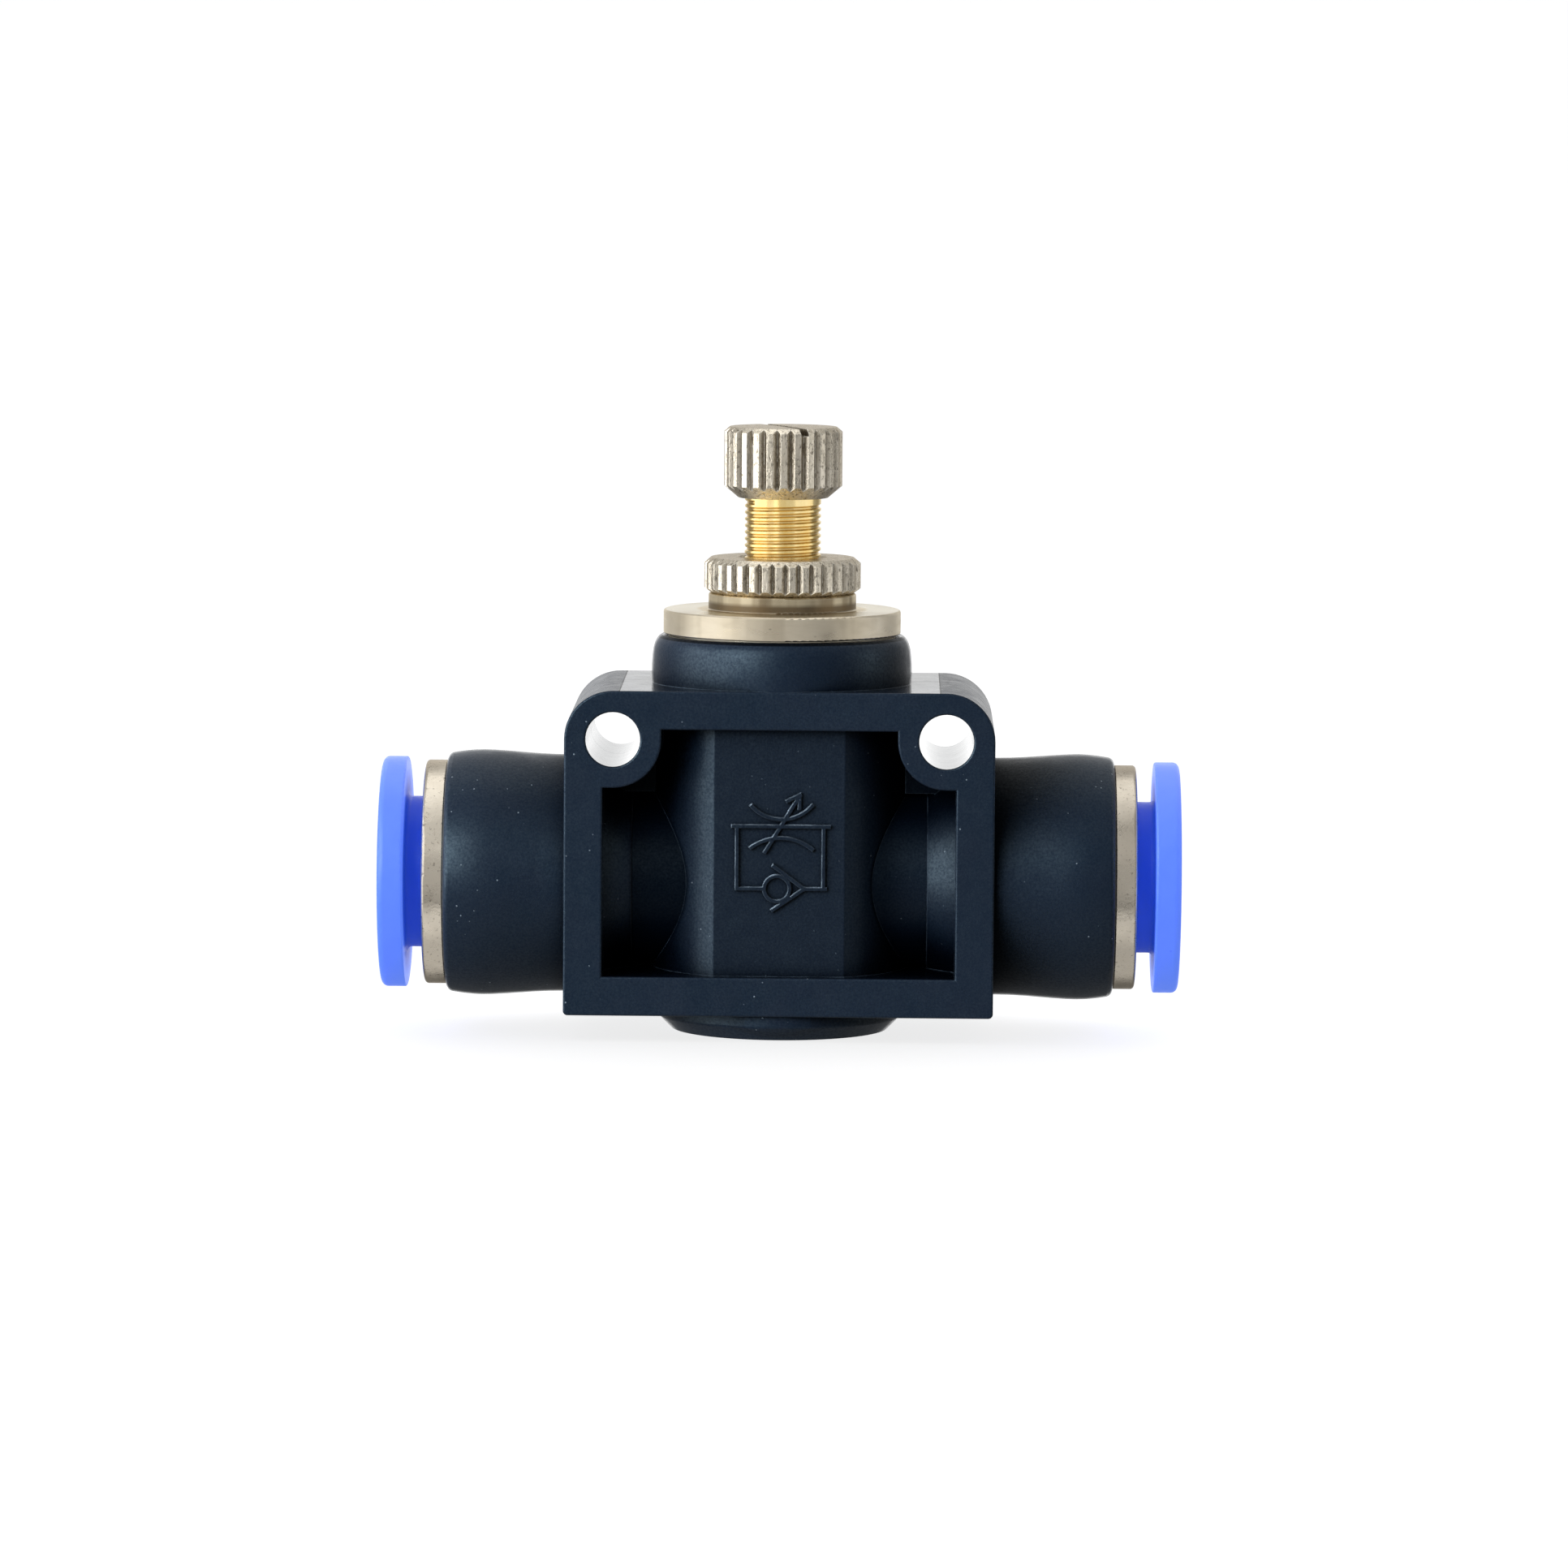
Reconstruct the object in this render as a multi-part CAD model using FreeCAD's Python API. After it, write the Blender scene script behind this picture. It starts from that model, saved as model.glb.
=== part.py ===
import FreeCAD, Part
import math
import os

# In-line push-in flow control valve for 10 mm tube, with a built-in check seal.
# Millimetres. +X runs along the tube axis (port to port), -Y is the face that
# carries the flow symbol, +Z is the adjusting needle's axis, pointing up.
# Everything is drawn about the point where the tube axis crosses the needle axis;
# save() lifts each piece by AXIS_Z, so that the round foot stands on Z = 0.

Vec = FreeCAD.Vector
ORIGIN = Vec(0, 0, 0)
X_AXIS, Y_AXIS, Z_AXIS = Vec(1, 0, 0), Vec(0, 1, 0), Vec(0, 0, 1)

AXIS_Z = 11.7          # tube axis above the foot

# ---- moulded body: frame ----
HALF_W = 16.15         # frame half width
HALF_T = 9.6           # frame half depth
TOP_Z, LOW_Z = 14.7, -9.78
EAR_X, EAR_Z = 12.5, 11.05             # mounting hole centres
EAR_R = 3.65
HOLE_R = 2.05
POCKET_X = 13.25
POCKET_TOP, POCKET_LOW = 11.8, -6.83
WEB = 0.9              # half thickness of the wall between the two pockets
PAD_X, PAD_Z, PAD_Y = 9.45, 6.6, 3.6   # square pads in the pockets, below the ears
PAD_SINK = 0.5         # pads run this far into the frame's sides
LOW_EDGE_R, RIM_R = 0.35, 0.16

# ---- moulded body: column, boss, foot and barrels ----
COLUMN_R = 9.9
COLUMN_INSET = 0.2     # column ends inside the frame's top and underside
PANEL_Y = 8.6          # flat panels on the column
PANEL_EDGE_R = 0.22
BOSS_TOP = 18.3
BOSS_R = 9.88
FOOT_R, FOOT_LOW_R = 9.25, 8.22
BARREL_START, BARREL_END = 5.0, 25.3
NECK_R = 7.0           # barrel inside the pockets, before it flares out
STEP_X = 11.15
BARREL_R = 9.02
BARREL_END_R = 8.66

# ---- flow symbol ----
SYMBOL_H = 0.22        # raised height
SYMBOL_W = 0.27        # stroke width
SYMBOL_SINK = 0.3      # depth buried in the panel

# ---- bores in the body ----
BORE_R = 7.5           # valve bore
BORE_FLOOR = -8.9
TUBE_R = 5.1           # tube socket
TUBE_STOP = 12.0
CART_R = 7.75          # cartridge bore
CART_X = 16.5
PASSAGE_R = 4.2
PASSAGE_START = 5.5
PASSAGE_NEAR, PASSAGE_FAR = 1.3, 6.0   # heights from the tube axis

# ---- adjusting needle, knob and locknut (M6 x 0.5) ----
THREAD_R = 2.9
THREAD_PITCH = 0.5
THREAD_DEPTH = 0.17
THREAD_BORE = THREAD_R + 0.03
THREAD_LOW = 14.9
COLLAR_R = 3.2
STEM_R, STEM_TOP = 2.0, 32.2           # plain end of the needle, inside the knob
KNOB_LOW, KNOB_TOP = 28.73, 34.1
KNOB_R = 4.49
KNOB_FLUTES = 26
SLOT_ANGLE = 22.0      # the screwdriver slot, turned about the needle axis
SLOT_W, SLOT_DEPTH = 0.62, 0.55
NUT_LOW, NUT_TOP = 21.47, 24.2
NUT_R = 5.94
NUT_FLUTES = 36
NUT_ANGLE = -87.0      # first flute

# ---- valve insert ----
BUSHING_BORE = 3.25    # plain bore around the needle
JOINT_LOW, JOINT_TOP = 4.6, 6.3        # bushing's foot, level with the cage's rim
JOINT_R = 4.6
CAGE_R = 5.6
BUSHING_GROOVE_R, BUSHING_GROOVE = 5.9, (7.3, 9.3)
NEEDLE_GROOVE_R, NEEDLE_GROOVE = 2.29, (11.8, 13.0)

# ---- push-in cartridge, distances along +X ----
SUPPORT_X = 18.5       # tube seal ends, claw support ring begins
GRAB_X = 20.0          # support ring ends, grab ring's rim begins
GUIDE_X = 20.3         # grab ring's rim ends, guide ring begins
RING_R = 8.52
RING_OUT = 26.95
GUIDE_BORE = 5.81
GUIDE_STEP_R, GUIDE_STEP_X = 6.75, 22.1
SLEEVE_NECK, SLEEVE_RIM = 5.74, 8.77
SLEEVE_IN, SLEEVE_OUT = 28.35, 30.25
NOSE_X = 21.3
NOSE_R = 6.6
GRAB_GAPS = 12


# ---- helpers ----
def xz(x, z):
    return Vec(x, 0, z)


def outline(points):
    """A closed wire in the XZ plane from (x, z, optional corner radius) points."""
    corners = [(xz(p[0], p[1]), p[2] if len(p) > 2 else 0.0) for p in points]
    count = len(corners)
    ends = []              # (corner start, arc middle or None, corner end)
    for i in range(count):
        corner, radius = corners[i]
        if radius <= 0:
            ends.append((corner, None, corner))
            continue
        back = (corners[i - 1][0] - corner).normalize()
        ahead = (corners[(i + 1) % count][0] - corner).normalize()
        half = back.getAngle(ahead) / 2.0
        setback = radius / math.tan(half)
        centre = corner + (back + ahead).normalize() * (radius / math.sin(half))
        middle = centre + (corner - centre).normalize() * radius
        ends.append((corner + back * setback, middle, corner + ahead * setback))
    edges = []
    for i in range(count):
        start, middle, stop = ends[i]
        if middle is not None:
            edges.append(Part.Arc(start, middle, stop).toShape())
        following = ends[(i + 1) % count][0]
        if (following - stop).Length > 1e-7:
            edges.append(Part.makeLine(stop, following))
    return Part.Wire(Part.__sortEdges__(edges))


def chain(*points):
    """Straight edges joining successive points."""
    return [Part.makeLine(start, stop) for start, stop in zip(points, points[1:])]


def solid(shape):
    """The shape as a single outward-facing solid where it holds just one."""
    if shape.Volume < 0:
        shape.reverse()
    if shape.ShapeType != "Solid" and len(shape.Solids) == 1:
        shape = shape.Solids[0]
    return shape


def about_z(points):
    """Turned piece about the needle axis from (radius, height, corner radius) points."""
    return solid(Part.Face(outline(points)).revolve(ORIGIN, Z_AXIS, 360))


def about_x(points):
    """Turned piece about the tube axis from (radius, x, corner radius) points."""
    swapped = [(p[1], p[0]) + tuple(p[2:]) for p in points]
    return solid(Part.Face(outline(swapped)).revolve(ORIGIN, X_AXIS, 360))


def block(x0, x1, y0, y1, z0, z1):
    return Part.makeBox(x1 - x0, y1 - y0, z1 - z0, Vec(x0, y0, z0))


def cylinder(radius, length, base, axis):
    return Part.makeCylinder(radius, length, base, axis)


def other_side(shape):
    """The same piece in the opposite port."""
    turned = shape.copy()
    turned.rotate(ORIGIN, Z_AXIS, 180)
    return turned


def spun(shape, axis, count, start=0.0):
    """Copies of a shape spaced evenly about an axis."""
    copies = []
    for i in range(count):
        turned = shape.copy()
        turned.rotate(ORIGIN, axis, start + 360.0 * i / count)
        copies.append(turned)
    return copies


def fluted(shape, radius, count, depth, width, z0, z1, start):
    """Straight V grooves round a piece turned about the needle axis."""
    beyond = 0.25          # the cutter widens past the surface at the groove's slope
    half = width / 2 * (1 + beyond / depth)
    section = Part.makePolygon([
        Vec(radius + beyond, -half, z0), Vec(radius - depth, 0, z0),
        Vec(radius + beyond, half, z0), Vec(radius + beyond, -half, z0),
    ])
    cutter = Part.Face(section).extrude(Vec(0, 0, z1 - z0))
    return solid(shape.cut(spun(cutter, Z_AXIS, count, start)))


def near(first, second):
    return abs(first - second) < 1e-6


def save(name, shape):
    lifted = shape.copy()
    lifted.translate(Vec(0, 0, AXIS_Z))
    lifted.exportStep("parts/" + name + ".step")


# ---- moulded body ----
def flow_symbol():
    """Raised one-way flow control symbol: throttle with arrow over a ball check."""
    y0 = -PANEL_Y - SYMBOL_H
    depth = SYMBOL_H + SYMBOL_SINK
    half = SYMBOL_W / 2

    def stroke(x0, z0, x1, z1):
        length = xz(x1 - x0, z1 - z0).Length
        bar = block(-half, length + half, y0, y0 + depth, -half, half)
        bar.rotate(ORIGIN, Y_AXIS, -math.degrees(math.atan2(z1 - z0, x1 - x0)))
        bar.translate(xz(x0, z0))
        return bar

    def ring(radius, x, z):
        base = Vec(x, y0, z)
        return cylinder(radius + half, depth, base, Y_AXIS).cut(
            cylinder(radius - half, depth, base, Y_AXIS)
        )

    def arc(start, middle, stop):
        """A bent stroke through three (x, z) points."""
        circle = Part.Arc(xz(*start), xz(*middle), xz(*stop)).toShape().Curve
        centre = circle.Center
        apex = Vec(centre.x, y0, centre.z)
        reach = 20.0       # well past the ring
        first, last = [
            xz(x - centre.x, z - centre.z).normalize() * reach for x, z in (start, stop)
        ]
        wedge = Part.Face(
            Part.makePolygon([apex, apex + first, apex + last, apex])
        ).extrude(Vec(0, depth, 0))
        return ring(circle.Radius, centre.x, centre.z).common(wedge)

    left, right, top, low = -3.15, 3.35, 4.52, -0.18
    ball_x, ball_r = -0.14, 0.96
    seat_x = 1.9
    return [
        # throttled line, uprights and check line
        stroke(left - 0.3, top, right + 0.4, top),
        stroke(left, low, left, top),
        stroke(right, low, right, top),
        stroke(left, low, ball_x - ball_r, low),
        stroke(seat_x, low, right + 0.15, low),
        # V seat of the ball check
        stroke(seat_x, low, -0.4, low + 1.72),
        stroke(seat_x, low, -0.45, low - 1.6),
        # throttle
        arc((-2.15, 6.15), (0.19, 5.05), (2.55, 6.2)),
        arc((-2.2, 2.85), (0.19, 3.65), (2.6, 2.75)),
        # arrow across the throttle
        stroke(-1.03, 2.62, 1.5, 6.8),
        stroke(1.55, 6.9, 0.62, 6.45),
        stroke(1.55, 6.9, 1.52, 5.9),
        ring(ball_r, ball_x, low),
    ]


def pocket(y0, y1):
    """One moulding pocket, with its top corners scooped to leave the round ears."""
    shoulder = EAR_X - EAR_R
    ear_low = EAR_Z - EAR_R
    diagonal = EAR_R / math.sqrt(2)
    wire = Part.Wire(
        chain(xz(-shoulder, POCKET_TOP), xz(shoulder, POCKET_TOP), xz(shoulder, EAR_Z))
        + [Part.Arc(xz(shoulder, EAR_Z), xz(EAR_X - diagonal, EAR_Z - diagonal),
                    xz(EAR_X, ear_low)).toShape()]
        + chain(xz(EAR_X, ear_low), xz(POCKET_X, ear_low), xz(POCKET_X, POCKET_LOW),
                xz(-POCKET_X, POCKET_LOW), xz(-POCKET_X, ear_low), xz(-EAR_X, ear_low))
        + [Part.Arc(xz(-EAR_X, ear_low), xz(-EAR_X + diagonal, EAR_Z - diagonal),
                    xz(-shoulder, EAR_Z)).toShape()]
        + chain(xz(-shoulder, EAR_Z), xz(-shoulder, POCKET_TOP))
    )
    wire.translate(Vec(0, y0, 0))
    return solid(Part.Face(wire).extrude(Vec(0, y1 - y0, 0)))


def side_edges(shape, height):
    """Edges at one height that run front to back."""
    return [
        e for e in shape.Edges
        if len(e.Vertexes) == 2
        and all(near(v.Z, height) for v in e.Vertexes)
        and near(e.Vertexes[0].X, e.Vertexes[1].X)
    ]


def frame():
    """Rectangular frame with a web, two pockets and two mounting holes."""
    shape = block(-HALF_W, HALF_W, -HALF_T, HALF_T, LOW_Z, TOP_Z)
    shape = shape.makeFillet(EAR_R, side_edges(shape, TOP_Z))
    shape = shape.makeFillet(LOW_EDGE_R, side_edges(shape, LOW_Z))
    shape = shape.cut([pocket(-HALF_T, -WEB), pocket(WEB, HALF_T)])
    pad_out = POCKET_X + PAD_SINK
    shape = shape.fuse([
        block(PAD_X, pad_out, -PAD_Y, PAD_Y, PAD_Z, EAR_Z + 1),
        block(-pad_out, -PAD_X, -PAD_Y, PAD_Y, PAD_Z, EAR_Z + 1),
    ])
    shape = shape.cut([
        cylinder(HOLE_R, 2 * HALF_T + 2, Vec(x, -HALF_T - 1, EAR_Z), Y_AXIS)
        for x in (-EAR_X, EAR_X)
    ]).removeSplitter()
    rims = [
        e for e in shape.Edges
        if all(near(abs(v.Y), HALF_T) for v in e.Vertexes)
        and near(abs(e.CenterOfMass.y), HALF_T)
    ]
    return shape.makeFillet(RIM_R, rims)


def column():
    """Round column with a flat panel front and back."""
    shape = cylinder(
        COLUMN_R, TOP_Z - LOW_Z - 2 * COLUMN_INSET, Vec(0, 0, LOW_Z + COLUMN_INSET), Z_AXIS
    ).common(block(-12, 12, -PANEL_Y, PANEL_Y, LOW_Z, TOP_Z))
    corners = [
        e for e in shape.Edges
        if len(e.Vertexes) == 2
        and abs(e.Vertexes[0].Z - e.Vertexes[1].Z) > 5
        and near(abs(e.Vertexes[0].Y), PANEL_Y)
    ]
    return shape.makeFillet(PANEL_EDGE_R, corners)


def boss():
    """Boss on top: slightly oval, to run down almost flush with the front and back
    faces, and easing into a soft top edge."""
    oval = (HALF_T - 0.01) / BOSS_R
    # (height, radius along X)
    stations = (
        (12.0, BOSS_R), (15.3, BOSS_R), (16.2, 9.87), (16.9, 9.81), (17.55, 9.69),
        (18.0, 9.48), (BOSS_TOP, 9.15),
    )
    rings = [
        Part.Wire([Part.Ellipse(Vec(0, 0, z), radius, radius * oval).toShape()])
        for z, radius in stations
    ]
    return Part.makeLoft(rings, True, False)


def foot():
    """Round foot with a 45 degree bevel."""
    top = LOW_Z + 1
    return about_z([
        (0, top), (FOOT_R, top), (FOOT_R, FOOT_R - FOOT_LOW_R - AXIS_Z, 0.25),
        (FOOT_LOW_R, -AXIS_Z, 0.15), (0, -AXIS_Z),
    ])


def barrel():
    """Right barrel, swelling towards its rounded mouth."""
    # (x, radius) along the swell
    swell = [xz(x, radius) for x, radius in (
        (15.5, BARREL_R), (17.5, 9.04), (19.0, 9.12), (20.4, 9.23), (21.6, 9.31),
        (22.7, 9.34), (23.7, 9.28), (24.85, 9.12),
    )]
    curve = Part.BSplineCurve()
    curve.interpolate(swell)
    start, mouth = xz(BARREL_START, 0), xz(BARREL_END, BARREL_END_R)
    edges = (
        chain(start, xz(BARREL_START, NECK_R), xz(STEP_X, NECK_R), xz(STEP_X, NECK_R + 0.14),
              xz(POCKET_X, 8.5), xz(14.1, BARREL_R), swell[0])
        + [curve.toShape(), Part.Arc(swell[-1], xz(25.17, 8.95), mouth).toShape()]
        + chain(mouth, xz(BARREL_END, 0), start)
    )
    return solid(Part.Face(Part.Wire(edges)).revolve(ORIGIN, X_AXIS, 360))


def valve_bore():
    return about_z([
        (0, BORE_FLOOR), (BORE_R, BORE_FLOOR), (BORE_R, BOSS_TOP - 0.3),
        (BORE_R + 0.3, BOSS_TOP), (BORE_R + 0.3, BOSS_TOP + 2), (0, BOSS_TOP + 2),
    ])


def port():
    """Tube socket and cartridge bore of the right port."""
    return about_x([
        (0, TUBE_STOP), (TUBE_R, TUBE_STOP), (TUBE_R, CART_X), (CART_R, CART_X),
        (CART_R, BARREL_END - 0.25), (CART_R + 0.25, BARREL_END),
        (CART_R + 0.25, BARREL_END + 2), (0, BARREL_END + 2),
    ])


def passage(z0, z1):
    """Part-round passage between the right tube socket and the valve bore."""
    length = TUBE_STOP + 0.5 - PASSAGE_START
    return cylinder(PASSAGE_R, length, Vec(PASSAGE_START, 0, 0), X_AXIS).common(
        block(5, 13, -6, 6, z0, z1)
    )


def body():
    right_barrel = barrel()
    shape = frame().fuse(
        [column(), boss(), foot(), right_barrel, other_side(right_barrel)] + flow_symbol()
    )
    # low passage to the right port, high passage to the left port
    shape = shape.cut([
        valve_bore(),
        port(),
        other_side(port()),
        passage(-PASSAGE_FAR, -PASSAGE_NEAR),
        other_side(passage(PASSAGE_NEAR, PASSAGE_FAR)),
    ])
    return solid(shape.removeSplitter())


# ---- valve insert ----
def valve_bushing():
    groove_low, groove_top = BUSHING_GROOVE
    flange_low = BOSS_TOP + 0.12
    return about_z([
        # threaded and plain bore, downwards
        (THREAD_BORE + 0.35, NUT_LOW), (THREAD_BORE, NUT_LOW - 0.35), (THREAD_BORE, 14.2),
        (BUSHING_BORE, 14.2), (BUSHING_BORE, 5.0), (3.6, JOINT_LOW),
        # outside, upwards: O-ring groove, two shallow grooves, flange, collar
        (JOINT_R, JOINT_LOW), (JOINT_R, JOINT_TOP), (7.4, JOINT_TOP, 0.2), (7.4, groove_low),
        (BUSHING_GROOVE_R, groove_low), (BUSHING_GROOVE_R, groove_top),
        (7.45, groove_top, 0.15), (BORE_R, 10.2), (BORE_R, 11.9), (7.15, 12.1), (7.15, 12.5),
        (BORE_R, 12.9), (BORE_R, 14.3), (7.15, 14.5), (7.15, 14.9), (BORE_R, 15.3),
        (BORE_R, 17.7), (7.3, 17.9), (7.3, BOSS_TOP), (8.6, BOSS_TOP), (8.6, flange_low),
        (9.0, flange_low, 0.12), (9.0, 20.25, 0.2), (5.6, 20.25, 0.12), (5.6, NUT_LOW, 0.15),
    ])


def valve_cage():
    """Seat for the needle, with four windows above it."""
    shape = about_z([
        (1.75, -2.6), (4.6, -2.6), (CAGE_R, -1.9), (CAGE_R, -1.1), (4.2, -1.1), (4.2, 1.1),
        (CAGE_R, 1.1), (CAGE_R, 1.6), (5.0, 1.6), (5.0, 4.4), (CAGE_R, 4.4),
        (CAGE_R, JOINT_TOP), (JOINT_R, JOINT_TOP), (JOINT_R, JOINT_LOW), (3.2, JOINT_LOW),
        (3.2, -0.9), (1.75, -1.4),
    ])
    window = block(2.6, 6.5, -1.25, 1.25, 1.9, 4.15)
    return solid(shape.cut(spun(window, Z_AXIS, 4, 45)))


def check_lip_seal():
    return about_z([
        (4.22, -1.08), (6.0, -1.08, 0.3), (7.25, -0.1, 0.4), (7.49, 0.95), (7.05, 0.98),
        (6.75, 0.25, 0.4), (5.7, -0.35, 0.3), (5.05, -0.35, 0.25), (4.85, 0.9), (4.22, 1.05),
    ])


def oring(centre_r, section_r, groove):
    """O-ring halfway up a (low, top) groove."""
    return Part.makeTorus(centre_r, section_r, Vec(0, 0, sum(groove) / 2), Z_AXIS)


def bushing_oring():
    return oring(6.695, 0.79, BUSHING_GROOVE)


def needle_oring():
    return oring((NEEDLE_GROOVE_R + BUSHING_BORE) / 2, 0.465, NEEDLE_GROOVE)


# ---- needle, knob and locknut ----
def thread_groove():
    """Helical V groove, run out of the blank's thread at both ends."""
    z0 = THREAD_LOW - 0.3
    root = THREAD_R - THREAD_DEPTH
    helix = Part.makeHelix(THREAD_PITCH, KNOB_LOW - 0.32 - z0, root)
    helix.translate(Vec(0, 0, z0))
    root_half, crest_half = THREAD_PITCH * 0.12, THREAD_PITCH * 0.35
    beyond = 0.1           # the cutter widens past the crest at the groove's slope
    outer_half = crest_half + (crest_half - root_half) * beyond / THREAD_DEPTH
    outer = THREAD_R + beyond
    profile = Part.makePolygon([
        xz(root, z0 - root_half), xz(outer, z0 - outer_half), xz(outer, z0 + outer_half),
        xz(root, z0 + root_half), xz(root, z0 - root_half),
    ])
    return solid(Part.Wire(helix.Edges).makePipeShell([profile], True, True))


def needle():
    groove_low, groove_top = NEEDLE_GROOVE
    blank = about_z([
        (0, 0.19), (0.95, 0.19, 0.25), (2.0, 3.19), (2.0, 10.6), (COLLAR_R, 10.6, 0.2),
        (COLLAR_R, groove_low), (NEEDLE_GROOVE_R, groove_low), (NEEDLE_GROOVE_R, groove_top),
        (COLLAR_R, groove_top), (COLLAR_R, 14.15, 0.1), (2.45, 14.15), (2.45, THREAD_LOW),
        (THREAD_R, THREAD_LOW + 0.35), (THREAD_R, KNOB_LOW), (STEM_R, KNOB_LOW),
        (STEM_R, STEM_TOP, 0.2), (0, STEM_TOP),
    ])
    return solid(blank.cut(thread_groove()))


def knob():
    shape = about_z([
        (0, STEM_TOP), (STEM_R, STEM_TOP), (STEM_R, KNOB_LOW), (3.4, KNOB_LOW, 0.1),
        (KNOB_R, KNOB_LOW + 0.92), (KNOB_R, KNOB_TOP - 0.36), (KNOB_R - 0.42, KNOB_TOP),
        (0, KNOB_TOP + 0.03),
    ])
    shape = fluted(shape, KNOB_R, KNOB_FLUTES, depth=0.34, width=0.64,
                   z0=KNOB_LOW - 1, z1=KNOB_TOP + 1, start=-90 + SLOT_ANGLE)
    slot = block(-SLOT_W / 2, SLOT_W / 2, -6, 6, KNOB_TOP - SLOT_DEPTH, KNOB_TOP + 1)
    slot.rotate(ORIGIN, Z_AXIS, SLOT_ANGLE)
    return solid(shape.cut(slot))


def locknut():
    shape = about_z([
        (THREAD_BORE, NUT_LOW + 0.3), (THREAD_BORE + 0.3, NUT_LOW), (5.35, NUT_LOW, 0.05),
        (NUT_R, NUT_LOW + 0.42), (NUT_R, NUT_TOP - 0.42), (NUT_R - 0.5, NUT_TOP),
        (THREAD_BORE + 0.45, NUT_TOP), (THREAD_BORE, NUT_TOP - 0.45),
    ])
    return fluted(shape, NUT_R, NUT_FLUTES, depth=0.32, width=0.62,
                  z0=NUT_LOW - 1, z1=NUT_TOP + 1, start=NUT_ANGLE)


# ---- push-in cartridge (right port) ----
def guide_ring():
    """Ring pressed into the cartridge bore, with two shallow grooves outside."""
    return about_x([
        (GUIDE_STEP_R, GUIDE_X), (7.65, GUIDE_X, 0.1), (CART_R, 21.0), (CART_R, 22.0),
        (7.55, 22.15), (CART_R, 22.6), (CART_R, 23.4), (7.55, 23.55), (CART_R, 24.0),
        (CART_R, BARREL_END), (RING_R, BARREL_END, 0.12), (RING_R, RING_OUT, 0.28),
        (GUIDE_BORE + 0.2, RING_OUT), (GUIDE_BORE, RING_OUT - 0.2),
        (GUIDE_BORE, GUIDE_STEP_X), (GUIDE_STEP_R, GUIDE_STEP_X),
    ])


def release_sleeve():
    """Sleeve with a push rim outside and a nose split by four slots."""
    shape = about_x([
        (5.2, NOSE_X), (5.9, NOSE_X, 0.1), (NOSE_R, NOSE_X + 0.32),
        (NOSE_R, NOSE_X + 0.7, 0.08), (SLEEVE_NECK, NOSE_X + 0.75),
        (SLEEVE_NECK, SLEEVE_IN, 0.35), (SLEEVE_RIM, SLEEVE_IN, 0.15),
        (SLEEVE_RIM, SLEEVE_OUT, 0.5), (TUBE_R + 0.55, SLEEVE_OUT, 0.15),
        (TUBE_R, SLEEVE_OUT - 0.9), (TUBE_R, NOSE_X + 0.1),
    ])
    slot = block(NOSE_X - 1, 24.4, -0.4, 0.4, 4.0, 7.5)
    return solid(shape.cut(spun(slot, X_AXIS, 4, 45)))


def grab_ring():
    """Thin coned ring, its inner part split into teeth by tapered gaps."""
    shape = about_x([
        (4.95, 19.0), (6.9, GRAB_X), (7.7, GRAB_X), (7.7, GUIDE_X), (6.88, GUIDE_X),
        (5.0, 19.34),
    ])
    # (y, z) of the gap's section
    section = [(-0.22, 4.2), (0.22, 4.2), (0.5, 6.75), (-0.5, 6.75), (-0.22, 4.2)]
    gap = Part.Face(Part.makePolygon([Vec(18, y, z) for y, z in section])).extrude(Vec(3, 0, 0))
    return solid(shape.cut(spun(gap, X_AXIS, GRAB_GAPS)))


def claw_support_ring():
    return about_x([
        (5.2, SUPPORT_X), (7.72, SUPPORT_X), (7.72, GRAB_X), (7.05, GRAB_X), (5.35, 18.95),
        (5.2, 18.9),
    ])


def tube_seal():
    seal_in = CART_X + 0.02
    return about_x([
        (7.73, seal_in, 0.2), (7.73, SUPPORT_X, 0.2), (6.3, SUPPORT_X, 0.2), (5.6, 18.1, 0.2),
        (4.9, 17.65, 0.15), (4.96, 17.3, 0.15), (5.6, 17.1, 0.2), (6.2, seal_in, 0.3),
    ])


os.makedirs("parts", exist_ok=True)
for make in (body, valve_bushing, valve_cage, check_lip_seal, bushing_oring, needle_oring,
             needle, knob, locknut):
    save(make.__name__, make())
for make in (guide_ring, release_sleeve, grab_ring, claw_support_ring, tube_seal):
    piece = make()
    save("right_" + make.__name__, piece)
    save("left_" + make.__name__, other_side(piece))
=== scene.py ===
"""Push-in flow control valve with a plastic body, needle adjuster and two tube ports.

It stands on its foot at z = 0, in metres. The needle axis is Z through the origin, the tube
axis runs along X at AXIS_Z, and the front with its moulded symbol faces -Y.
"""

import math

import bmesh
import bpy
from mathutils import Matrix, Vector

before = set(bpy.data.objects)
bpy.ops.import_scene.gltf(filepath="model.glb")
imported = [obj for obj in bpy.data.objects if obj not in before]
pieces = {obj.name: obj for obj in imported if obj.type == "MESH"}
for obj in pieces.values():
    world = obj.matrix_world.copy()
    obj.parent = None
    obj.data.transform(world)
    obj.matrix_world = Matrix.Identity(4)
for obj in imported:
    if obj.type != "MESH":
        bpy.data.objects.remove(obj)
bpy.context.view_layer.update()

AXIS_Z = 0.0117      # tube axis above the foot
PARTING_Y = 0.00115  # mould parting plane between the ports
SLIDE_X = 0.0120     # mould slide marks across the ears, either side
HOLE_X = 0.0125      # screw hole centres, either side
HOLE_Z = 0.02275

scene = bpy.context.scene
scene.view_settings.view_transform = "Standard"
scene.view_settings.look = "None"
scene.view_settings.exposure = 0.0
scene.view_settings.gamma = 1.0


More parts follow.
